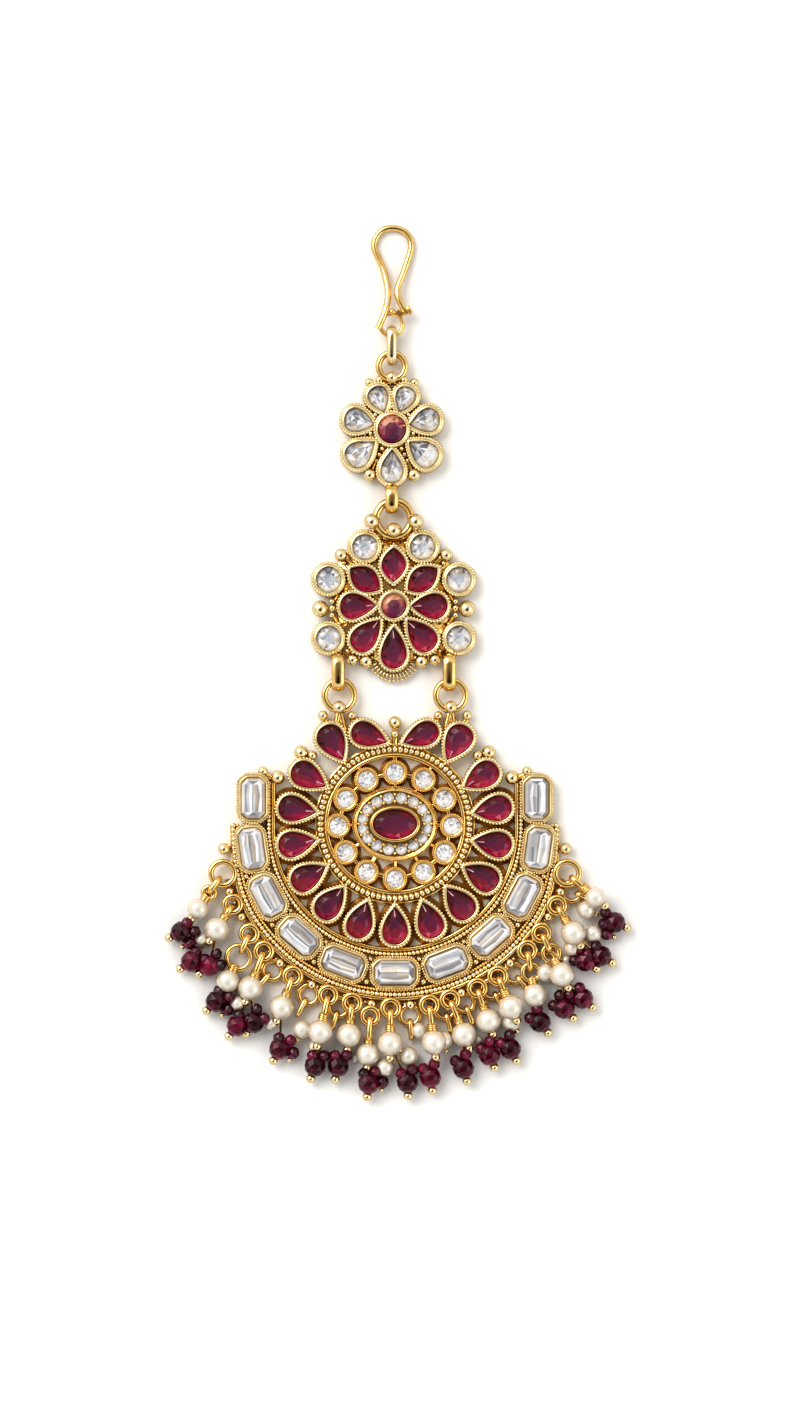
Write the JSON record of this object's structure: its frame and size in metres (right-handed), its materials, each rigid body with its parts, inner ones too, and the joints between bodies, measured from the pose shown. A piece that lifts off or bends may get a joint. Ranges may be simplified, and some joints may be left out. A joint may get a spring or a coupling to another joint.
{
  "type": "jhoomar",
  "caption": "Bridal hair ornament lying flat: a wire hair hook, two gem-set flowers and a wide openwork gem-set pendant joined by links, fringed with pearls and dark beads.",
  "frame": {"origin": "middle of the pendant's round medallion, on the flat back that it lies on", "axes": "+Y along the ornament from the pendant toward the hair hook, +X to the viewer's right, +Z out of the face toward the viewer; Z = 0 is the surface that it lies on"},
  "size_m": [0.0734, 0.1393, 0.0052],
  "materials": {
    "gold": "polished antique gold with darker recesses",
    "ruby": "faceted, foil-backed crimson",
    "crystal": "faceted, clear, foil-backed",
    "pearl": "satin nacre",
    "garnet": "faceted dark red"
  },
  "bodies": {
    "root": {"hair_hook": "gold", "hook_link": "gold", "small_flower": "gold", "middle_link": "gold", "middle_flower": "gold", "left_link": "gold", "right_link": "gold", "pendant_frame": "gold", "petal_stone_01": "ruby", "petal_stone_02": "ruby", "petal_stone_03": "ruby", "petal_stone_04": "ruby", "petal_stone_05": "ruby", "petal_stone_06": "ruby", "petal_stone_07": "ruby", "petal_stone_08": "ruby", "pear_stone_01": "ruby", "pear_stone_02": "ruby", "pear_stone_03": "ruby", "pear_stone_04": "ruby", "pear_stone_05": "ruby", "pear_stone_06": "ruby", "pear_stone_07": "ruby", "pear_stone_08": "ruby", "pear_stone_09": "ruby", "pear_stone_10": "ruby", "pear_stone_11": "ruby", "pear_stone_12": "ruby", "pear_stone_13": "ruby", "pear_stone_14": "ruby", "pear_stone_15": "ruby", "pear_stone_16": "ruby", "pear_stone_17": "ruby", "long_stone_01": "crystal", "long_stone_02": "crystal", "long_stone_03": "crystal", "long_stone_04": "crystal", "long_stone_05": "crystal", "long_stone_06": "crystal", "long_stone_07": "crystal", "long_stone_08": "crystal", "long_stone_09": "crystal", "long_stone_10": "crystal", "long_stone_11": "crystal", "oval_stone": "ruby", "drop_01": "pearl", "drop_02": "pearl", "drop_03": "pearl", "drop_04": "pearl", "drop_05": "pearl", "drop_06": "pearl", "drop_07": "pearl", "drop_08": "pearl", "drop_09": "pearl", "drop_10": "pearl", "drop_11": "pearl", "drop_12": "pearl", "drop_13": "pearl", "drop_14": "pearl", "drop_15": "pearl"}
  },
  "joints": []
}
